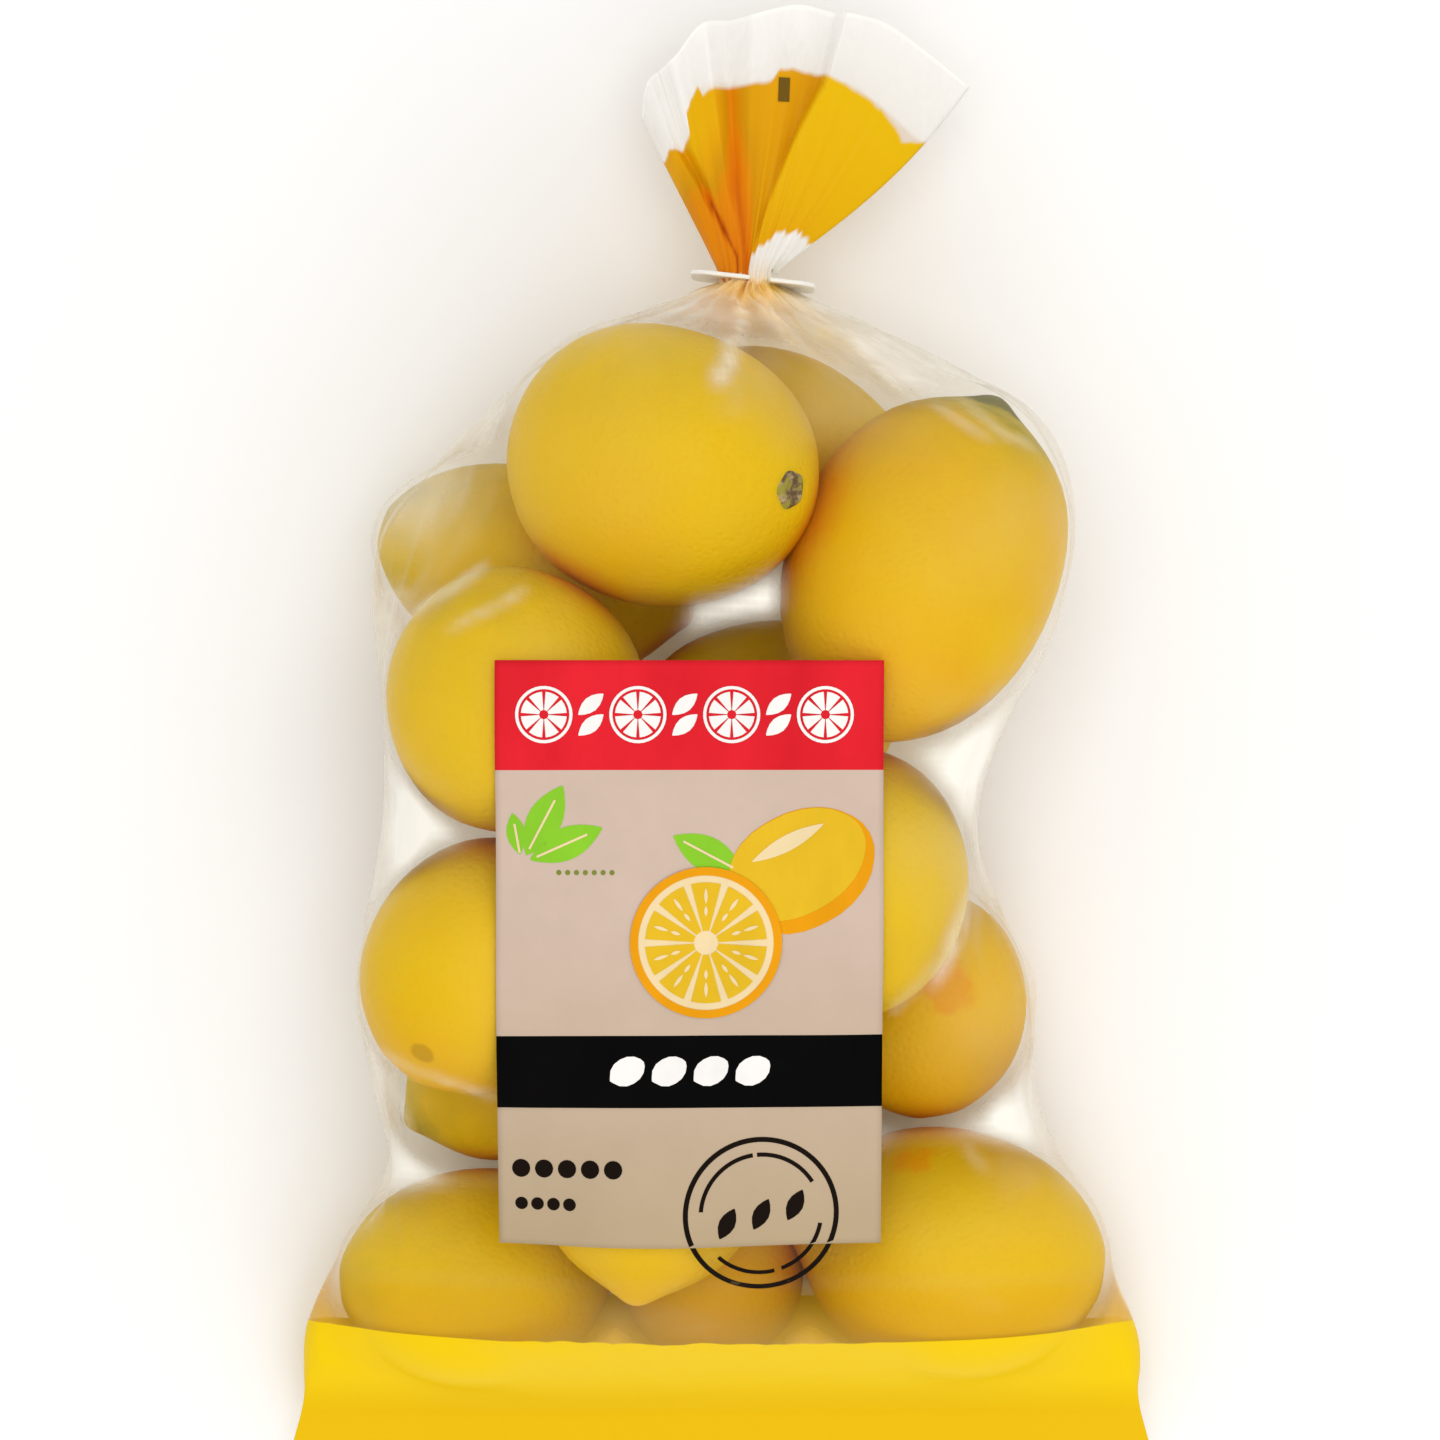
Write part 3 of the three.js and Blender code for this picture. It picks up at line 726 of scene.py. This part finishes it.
def makeFilm(fruit, materials):
    skin = BVHTree.FromBMesh(cadForm("bag", 0.002))
    columns = film["columns"]
    bm = bmesh.new()
    column = bm.verts.layers.int.new("column")
    inkLayer, toneLayer, milkLayer, openLayer, gatherLayer = (
        bm.verts.layers.float.new(name) for name in ("ink", "tone", "milk", "open", "gather"))
    ring = ops.create_circle(bm, cap_ends=False, segments=columns, radius=0.1)["verts"]
    ring.sort(key=lambda v: atan2(v.co.y, v.co.x) % (2 * pi))
    for j, v in enumerate(ring):
        v[column] = j
    edges = list(bm.edges)

    def nextRow(edges):
        made = ops.extrude_edge_only(bm, edges=edges)["geom"]
        fresh = only(bmesh.types.BMVert, made)
        among = set(fresh)
        rim = [e for e in only(bmesh.types.BMEdge, made) if among.issuperset(e.verts)]
        return sorted(fresh, key=lambda v: v[column]), rim

    rows = []
    places = rowPlaces()
    for y in places:
        if rows:
            ring, edges = nextRow(edges)
        for v, point in zip(ring, bodyRow(skin, y)):
            v.co = point
        rows.append(ring)
    say("film laid over the fruit")
    held = set(rows[0]) | set(rows[-1])
    loose = [v for row, y in zip(rows, places) if y > film["looseFrom"] for v in row if v not in held]
    smooth(bm, loose, film["smoothing"])
    seamLow, seamHigh = film["seam"]
    seam = [v for row, y in zip(rows, places) if seamLow < y < seamHigh for v in row]
    smooth(bm, seam, film["seamSmoothing"], across=False)
    keepOff(bm, fruit, film["clear"])
    bm.normal_update()
    points = np.array([v.co for v in bm.verts])
    outward = 1 if rows[film["sideRow"]][0].normal.x > 0 else -1
    shifts = []
    streaks = {}
    for v, gap, bare in zip(bm.verts, fruit.gap(points), fruit.bareness(points)):
        place = v.co / mm
        height = foldHeight(place, gap, 2 * pi * v[column] / columns)
        drop = (place - neckMiddle).length
        across, down = film["tanReach"]
        tone = film["tanned"] * exp(-(((place.x - neck["x"]) / across) ** 2) - (drop / down) ** 2)
        upward = ease(0.05, 0.5, v.normal.z * outward)
        if upward > 0:
            rise, creaseMilkAndHighlight = creaseAt(place)
            cloud, cloudTone = cloudAt(place, bare / mm)
            height += rise * upward
            tone += cloudTone * upward
            v[milkLayer] = cloud * upward
            streaks[v] = creaseMilkAndHighlight * upward
        shifts.append(v.normal * outward * height * mm)
        v[openLayer] = ease(-0.5, 3.5, bare / mm)
        v[gatherLayer] = exp(-((drop / film["gatherFade"]) ** 2))
        v[toneLayer] = min(tone, 1)
        v[inkLayer] = baseInk(place.x, place.y, ease(0.1, -0.6, v.normal.z * outward))
    for v, shift in zip(bm.verts, shifts):
        v.co += shift
    keepOff(bm, fruit, film["foldedClear"])
    for v in bm.verts:
        v.co.z = max(v.co.z, film["floor"] * mm)
    soften(bm.verts, (openLayer, milkLayer), film["softening"])
    for v, creaseMilkAndHighlight in streaks.items():
        v[milkLayer] = max(v[milkLayer], creaseMilkAndHighlight)
    say("film folded")
    neckRing = [v.co.copy() for v in rows[-1]]
    for k in range(fan["rows"] + 2):
        ring, edges = nextRow(edges)
        climb = max(k - 1, 0) / fan["rows"]
        lift = Vector((0, (neck["top"] - neck["bottom"]) * mm * min((k + 1) / 2, 1), 0))
        for v, start in zip(ring, neckRing):
            j = v[column]
            front = j <= columns / 2
            share = (j if front else columns - j) / (columns / 2)
            v.co = fanPoint(start + lift, share, climb, front)
            v[inkLayer] = fanInk(share, climb, front)
            v[toneLayer] = frontPleat(share, climb, "tone") if front else ink["backTone"]
            v[openLayer] = film["fanHaze"]
            v[milkLayer] = fan["hemMilk"] if k > fan["rows"] else 0.0
    ops.recalc_face_normals(bm, faces=bm.faces)
    say("fan opened")
    return finishPiece("film_bag", bm, materials)


def makeFilmMaterial():
    s = Shader("clear_film")
    crinkle = s.bump(s.noise(scale=110, detail=4, roughness=0.55, stretch=(1, 0.35, 1), distortion=0.6),
                     strength=0.35, distance=0.0006)
    # How much light the film keeps back: haze, more where it hangs bare, and its shine edge on.
    facing = s.add("LayerWeight")
    s.dress(facing, {"Blend": 0.5, "Normal": crinkle})
    shine = s.times(s.math("POWER", facing.outputs["Facing"], 5.0), film["edgeShine"])
    streaks = s.noise(scale=38, detail=5, roughness=0.6, stretch=(1, 0.32, 1), distortion=0.4,
                      between=(0.42, 0.72), to=(0.7, 1.2))
    cloudy = s.noise(scale=19, detail=3, roughness=0.55, stretch=(1, 0.6, 1),
                     between=(0.40, 0.68), to=film["haze"])
    bare = s.times(s.attribute("open"), film["openHaze"])
    bunched = s.times(s.attribute("gather"), film["gatherHaze"])
    cover = s.times(s.plus(bare, bunched), streaks)
    for more in (cloudy, s.along(*film["bled"], (0, film["bleed"])), s.attribute("milk")):
        cover = s.plus(cover, more)
    cover = s.plus(cover, shine, clamp=True)
    strands = s.noise(scale=75, detail=3, stretch=(1, 0.35, 1), between=(0.46, 0.60))
    bunchedTone = s.blend(s.attribute("tone"), film["cream"], s.blend(strands, film["tan"], film["straw"]))
    bodyTone = s.blend(s.along(*film["tinted"]), bunchedTone, film["aboveBand"])
    fanned = s.along(neck["bottom"], neck["top"] + 4)
    s.dress(s.body, {"Base Color": s.blend(fanned, bodyTone, film["fanWhite"]),
                     "Roughness": film["roughness"], "Normal": crinkle})
    # Printed film: nearly opaque ink, which is orange down in the folds, partly from the film lying in layers
    # and partly as painted shade.
    printed = s.add("BsdfPrincipled")
    base = s.blend(s.along(*ink["lowest"]), ink["lower"], ink["yellow"])
    mouth = s.ramp(s.attribute("tone"), ink["folds"])
    s.dress(printed, {"Base Color": s.blend(s.along(0, 50), base, mouth), "Roughness": ink["roughness"],
                      "Specular IOR Level": ink["shine"], "Normal": crinkle})
    clear = s.add("BsdfTransparent")
    s.put(clear.inputs["Color"], film["tint"])
    thin = s.mixed(cover, clear, s.body)
    inked = s.mixed(ink["cover"], clear, printed)
    whole = s.mixed(s.mapRange(s.attribute("ink"), -ink["edge"], ink["edge"]), thin, inked)
    s.link(whole.outputs[0], s.out.inputs["Surface"])
    return s.material


# The front panel is laid on the film.
panel = {
    "left": -48, "right": 35, "bottom": -112.5, "top": 14,
    "bands": [(0, -9.4), (1, -66.5), (2, -82.2), (1, -112.5)],  # material (red, cream, black), lower edge
    "cell": 1.6, "lift": 0.3, "thickness": 0.12, "smoothing": 6,
    "red": (0.76, 0.019, 0.031), "redEdge": (0.62, 0.013, 0.022),
    "creamTop": (0.61, 0.468, 0.39), "creamShadedLow": (0.475, 0.362, 0.226),
    "fading": (-40, -110),  # the stretch over which the one turns into the other: the cream darkens towards the bottom as painted shade from the lemons behind
    "creamDark": (0.35625, 0.2715, 0.1695), "clouding": 0.16,
    "black": (0.0015, 0.0013, 0.0013), "blackSheen": (0.003, 0.0026, 0.0026),
    "inkShine": 0.02, "inkRoughness": (0.46, 0.58),
}


def finishPrint(s, colour):
    wrinkles = s.bump(s.noise(scale=120, detail=3, stretch=(1, 0.4, 1)), strength=0.18, distance=0.0005)
    s.dress(s.body, {
        "Base Color": colour,
        "Roughness": s.noise(scale=160, detail=3, between=(0.3, 0.7), to=panel["inkRoughness"]),
        "Specular IOR Level": panel["inkShine"], "Normal": wrinkles,
    })
    return s.material


def makePrint(name, dark, pale, mottling=45):
    s = Shader(name)
    cloud = s.noise(scale=mottling, detail=4, roughness=0.6, stretch=(1, 0.5, 1), between=(0.3, 0.7))
    return finishPrint(s, s.blend(cloud, dark, pale))


def makeCreamPrint():
    s = Shader("print_cream")
    # painted shade: the cream grows darker towards the panel's bottom
    paper = s.blend(s.along(*panel["fading"]), panel["creamTop"], panel["creamShadedLow"])
    cloud = s.noise(scale=60, detail=5, roughness=0.65, between=(0.3, 0.7), to=(0, panel["clouding"]))
    return finishPrint(s, s.blend(cloud, paper, panel["creamDark"]))


def heightOn(skins, x, y):
    tops = [hit.z for hit in (firstHit(skin, (x, y, outside), (0, 0, -1)) for skin in skins) if hit]
    return max(tops) if tops else 0.0


def makePanel(skin):
    bm = bmesh.new()
    low = Vector((panel["left"], panel["bottom"], 0))
    high = Vector((panel["right"], panel["top"], 0))
    columns, lanes = (round(side / panel["cell"]) for side in (high - low).xy)
    ops.create_grid(bm, x_segments=columns, y_segments=lanes, size=0.5)
    ops.scale(bm, vec=(high - low) * mm, verts=bm.verts)
    ops.translate(bm, vec=(low + high) / 2 * mm, verts=bm.verts)
    for _, bottom in panel["bands"][:-1]:
        ops.bisect_plane(bm, geom=bm.verts[:] + bm.edges[:] + bm.faces[:], dist=1e-7,
                         plane_co=(0, bottom * mm, 0), plane_no=(0, 1, 0))
    for f in bm.faces:
        y = f.calc_center_median().y / mm
        f.material_index = next(band for band, bottom in panel["bands"] if y > bottom)
    floor = {v: heightOn([skin], v.co.x, v.co.y) for v in bm.verts}
    for v in bm.verts:
        v.co.z = floor[v] + panel["lift"] * mm
    smooth(bm, bm.verts, panel["smoothing"], across=False)
    for v in bm.verts:
        v.co.z = max(v.co.z, floor[v] + panel["lift"] * mm / 2)
    materials = [makePrint("print_red", panel["redEdge"], panel["red"]), makeCreamPrint(),
                 makePrint("print_black", panel["black"], panel["blackSheen"])]
    piece = finishPiece("front_panel", bm, materials)
    wall = piece.modifiers.new("thickness", "SOLIDIFY")
    wall.thickness = panel["thickness"] * mm
    wall.offset = 1
    return piece


# Plain printed shapes: wheels of citrus, whole lemons, leaves, dots and rings (mm and degrees).
art = {
    "lift": 0.07,  # each layer of print over the one below
    "white": (0.9, 0.87, 0.84), "green": (0.25, 0.58, 0.03), "olive": (0.2, 0.24, 0.04),
    "yellow": (0.76, 0.47, 0.02), "orange": (0.8, 0.33, 0.006), "pale": (0.84, 0.66, 0.38),
    "dark": (0.01, 0.006, 0.004), "brown": (0.16, 0.09, 0.012),
    "banner": {"y": 2.4, "wheels": [-37.5, -17.5, 2.5, 22.5], "radius": 6.1, "wedges": 8,
               "leaves": [-27.5, -7.5, 12.5], "leaf": (7, 3.2, 40)},  # length, width, heading
    "sprig": {"foot": (-42.5, -29.5), "leaves": [(62, 17, 7.4), (24, 17, 7), (100, 9, 4.2)], "vein": 0.5,
              "dots": (-34.5, -31.4), "dot": 1.1, "step": 1.9, "count": 7},
    "wheel": {"at": (-3, -46.5), "radius": 16.3, "wedges": 10,
              "pips": [(0.62, 3.4), (0.42, 2.2)]},  # how far out, and length
    "lemon": {"at": (17, -31), "size": (35, 25, 28), "leaf": (17, 7.5, 152)},
    "band": {"y": -74.3, "lemons": [-20, -11, -2, 7], "size": (8.4, 6, 30)},
    "dots": {"left": -43, "step": 2.5, "rows": [(-95.6, 2, 5), (-103.4, 1.4, 4)]},  # y, radius, count
    "stamp": {"at": (8.9, -105.6), "radius": 16.9, "turn": 14, "leaf": (7.4, 3.6, 64), "step": 7.6,
              "rings": [(0, 1.1, 0, 360), (3.4, 4.3, 32, 62), (3.4, 4.3, 98, 78), (3.4, 4.3, 225, 58),
                        (3.4, 4.3, 290, 60)]},  # how far in from the radius, start and sweep
    "mark": {"at": (14.2, 140.8), "size": (5.4, 2.5, 88)},  # the small block that a packing machine reads
}
inks = ["white", "green", "olive", "yellow", "orange", "pale", "dark", "brown"]

outlines = {
    "bar": lambda u: 1.0,
    "disc": lambda u: sqrt(max(1 - u * u, 0)),
    "leaf": lambda u: sin(pi * (u + 1) / 2) ** 0.85,
    "lemon": lambda u: readLine(lemonOutline, u),
}


def addShape(bm, kind, at, length, width, heading, colour, layer=1):
    # A flat shape, cut from a grid by its outline. The layer says what it is printed over.
    columns = max(8, round(length / 1.1))
    lanes = max(2, round(width / 1.6))
    grid = ops.create_grid(bm, x_segments=columns, y_segments=lanes, size=1.0)["verts"]
    turn = Matrix.Rotation(radians(heading), 3, "Z")
    depth = bm.verts.layers.float["layer"]
    for v in grid:
        u = v.co.x if kind == "bar" else sin(v.co.x * pi / 2)
        flat = Vector((u * length / 2, v.co.y * width / 2 * outlines[kind](u), 0))
        v.co = (turn @ flat + Vector((*at, 0))) * mm
        v[depth] = layer
    for f in {f for v in grid for f in v.link_faces}:
        f.material_index = inks.index(colour)


def addRing(bm, at, outer, inner, start, sweep, colour, layer=1):
    centre = Vector((*at, 0)) * mm
    ray = rayAt(start).to_3d() * mm
    before = set(bm.faces)
    radii = np.linspace(inner, outer, max(2, round((outer - inner) / 2)))
    spin(bm, [centre + ray * r for r in radii], centre, (0, 0, 1), radians(sweep),
         max(3, round(outer * sweep / 60)), sweep == 360)
    depth = bm.verts.layers.float["layer"]
    for f in set(bm.faces) - before:
        f.material_index = inks.index(colour)
        for v in f.verts:
            v[depth] = layer


def addWheel(bm, at, radius, wedges, rind, pith, pulp, layer=1):
    # A slice of citrus: its rind, and wedges of pulp that leave the pith between them bare.
    share = 360 / wedges
    if pith:
        addRing(bm, at, radius * 0.92, 0.0, 0, 360, pith, layer)
    addRing(bm, at, radius, radius * 0.89, 0, 360, rind, layer + 1)
    for k in range(wedges):
        addRing(bm, at, radius * 0.8, radius * 0.16, (k + 0.1) * share, share * 0.8, pulp, layer + 1)


def makePrintedShapes(name, draw, skins):
    bm = bmesh.new()
    depth = bm.verts.layers.float.new("layer")
    draw(bm)
    ops.remove_doubles(bm, verts=bm.verts, dist=0.000001)
    for v in bm.verts:
        v.co.z = heightOn(skins, v.co.x, v.co.y) + art["lift"] * mm * v[depth]
    for f in bm.faces:
        f.normal_update()
        if f.normal.z < 0:
            f.normal_flip()
    materials = [makePrint(f"print_{colour}", tuple(c * 0.9 for c in art[colour]), art[colour], 120)
                 for colour in inks]
    return finishPiece(name, bm, materials)


def drawBanner(bm):
    banner = art["banner"]
    for x in banner["wheels"]:
        addWheel(bm, (x, banner["y"]), banner["radius"], banner["wedges"], "white", None, "white")
    for x in banner["leaves"]:
        for side in (2.2, -2.2):
            addShape(bm, "leaf", (x, banner["y"] + side), *banner["leaf"], "white")


def drawSprig(bm):
    sprig = art["sprig"]
    for heading, length, width in sprig["leaves"]:
        along = rayAt(heading)
        middle = Vector(sprig["foot"]) + along * (length / 2 + 2)
        addShape(bm, "leaf", middle, length, width, heading, "green")
        addShape(bm, "bar", middle - along, length * 0.7, sprig["vein"], heading, "pale", 2)
    x, y = sprig["dots"]
    for k in range(sprig["count"]):
        addShape(bm, "disc", (x + sprig["step"] * k, y), sprig["dot"], sprig["dot"], 0, "olive")


def drawFruit(bm):
    lemon = art["lemon"]
    x, y = lemon["at"]
    long, wide, turn = lemon["size"]
    addShape(bm, "lemon", (x, y), long, wide, turn, "orange")
    addShape(bm, "lemon", (x - 0.9, y + 1.3), long * 0.95, wide * 0.86, turn, "yellow", 2)
    addShape(bm, "leaf", (x - 2.5, y + 6), long * 0.5, 3.4, turn, "pale", 3)  # its shine
    addShape(bm, "leaf", (x - 19.5, y + 3.5), *lemon["leaf"], "green")
    addShape(bm, "bar", (x - 19.5, y + 3.5), 12, 0.5, lemon["leaf"][2], "pale", 2)
    wheel = art["wheel"]
    addWheel(bm, wheel["at"], wheel["radius"], wheel["wedges"], "orange", "pale", "yellow", 4)
    for k in range(wheel["wedges"]):
        heading = (k + 0.5) * 360 / wheel["wedges"]
        for r, size in wheel["pips"]:
            spot = Vector(wheel["at"]) + rayAt(heading) * wheel["radius"] * r
            addShape(bm, "leaf", spot, size, 0.8, heading, "pale", 6)


def drawBand(bm):
    band = art["band"]
    for x in band["lemons"]:
        addShape(bm, "lemon", (x, band["y"]), *band["size"], "white")
    dots = art["dots"]
    for y, radius, count in dots["rows"]:
        for k in range(count):
            x = dots["left"] + dots["step"] * radius * k
            addShape(bm, "disc", (x, y), radius * 2, radius * 2, 0, "dark")


def drawStamp(bm):
    stamp = art["stamp"]
    for outer, inner, start, sweep in stamp["rings"]:
        addRing(bm, stamp["at"], stamp["radius"] - outer, stamp["radius"] - inner, start, sweep, "dark")
    for k in (-1, 0, 1):
        middle = Vector(stamp["at"]) + rayAt(stamp["turn"]) * stamp["step"] * k
        addShape(bm, "leaf", middle, *stamp["leaf"], "dark")


def drawMark(bm):
    addShape(bm, "bar", art["mark"]["at"], *art["mark"]["size"], "brown", 3)


# The flat plastic tag that closes the neck.
tag = {"rounding": 0.3, "ivory": (0.84, 0.82, 0.76), "white": (0.92, 0.91, 0.86), "roughness": 0.28,
       "glow": 0.3, "glowReach": (0.002, 0.002, 0.0015)}


def makeTag():
    bm = cadForm("closure_tag", 0.005)
    ops.dissolve_limit(bm, angle_limit=radians(2), verts=bm.verts, edges=bm.edges)
    sharp = [e for e in bm.edges if e.calc_face_angle(0) > radians(50)]
    ops.bevel(bm, geom=sharp, offset=tag["rounding"] * mm, segments=3, profile=0.5, material=-1,
              affect="EDGES")
    s = Shader("tag_plastic")
    s.dress(s.body, {
        "Base Color": s.blend(s.noise(scale=200), tag["ivory"], tag["white"]), "Roughness": tag["roughness"],
        "Subsurface Weight": tag["glow"], "Subsurface Radius": tag["glowReach"],
        "Normal": s.bump(s.noise(scale=900), strength=0.1, distance=0.0002),
    })
    return finishPiece("tag", bm, [s.material])


# Floor, light and camera.
studio = {
    "eye": (0, 1.25, 1600), "focal": 176.1, "sensor": 36, "aim": (0, 0, 50),
    "floor": (0.95, 0.952, 0.955), "floorShade": (0.9405, 0.94248, 0.94545), "floorHalf": 3,
    "sky": (1, 0.995, 0.98, 1), "skyLight": 0.8,
    "lamps": [("key", (50, 110, 1380), 800, 5), ("fill", (250, -800, 900), 700, 2)],  # place and size, watts
}


def makeStudio():
    s = Shader("floor_paint")
    s.dress(s.body, {"Base Color": s.blend(s.noise(scale=2), studio["floor"], studio["floorShade"]),
                     "Roughness": 0.7})
    bm = bmesh.new()
    ops.create_grid(bm, x_segments=1, y_segments=1, size=studio["floorHalf"])
    finishMesh("floor", bm, [s.material])
    world = bpy.context.scene.world = bpy.data.worlds.new("studio")
    world.use_nodes = True
    sky = world.node_tree.nodes["Background"].inputs
    sky["Strength"].default_value = studio["skyLight"]
    sky["Color"].default_value = studio["sky"]
    for name, at, size, power in studio["lamps"]:
        data = bpy.data.lights.new(name, "AREA")
        data.energy = power
        data.size = size * mm
        light = addObject(name, data)
        light.location = Vector(at) * mm
        way = Vector(studio["aim"]) * mm - light.location
        light.rotation_euler = way.to_track_quat("-Z", "Y").to_euler()
    eye = bpy.data.cameras.new("camera")
    eye.lens = studio["focal"]
    eye.sensor_width = studio["sensor"]
    camera = addObject("camera", eye)
    camera.location = Vector(studio["eye"]) * mm
    bpy.context.scene.camera = camera
    bpy.context.scene.view_settings.view_transform = "Standard"


makeStudio()
peelMaterials = [makePeel(), makeStemBark()]
fruit = Fruit()
for number, shape in enumerate(lemons, start=1):
    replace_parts(makeLemon(number, shape, fruit, peelMaterials), "bag")  # which stands for film and fruit
say("lemons placed")
filmPiece = makeFilm(fruit, [makeFilmMaterial()])
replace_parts(filmPiece, "bag")
filmSkin = BVHTree.FromObject(filmPiece, bpy.context.evaluated_depsgraph_get())
panelPiece = makePanel(filmSkin)
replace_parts(panelPiece, "label")
panelSkin = BVHTree.FromObject(panelPiece, bpy.context.evaluated_depsgraph_get())
for name, draw in (("banner_wheels", drawBanner), ("leaf_sprig", drawSprig), ("fruit_print", drawFruit),
                   ("band_lemons", drawBand), ("ring_stamp", drawStamp), ("eye_mark", drawMark)):
    makePrintedShapes(name, draw, [filmSkin, panelSkin])
say("panel printed")
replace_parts(makeTag(), "closure_tag")
say("tag fitted")
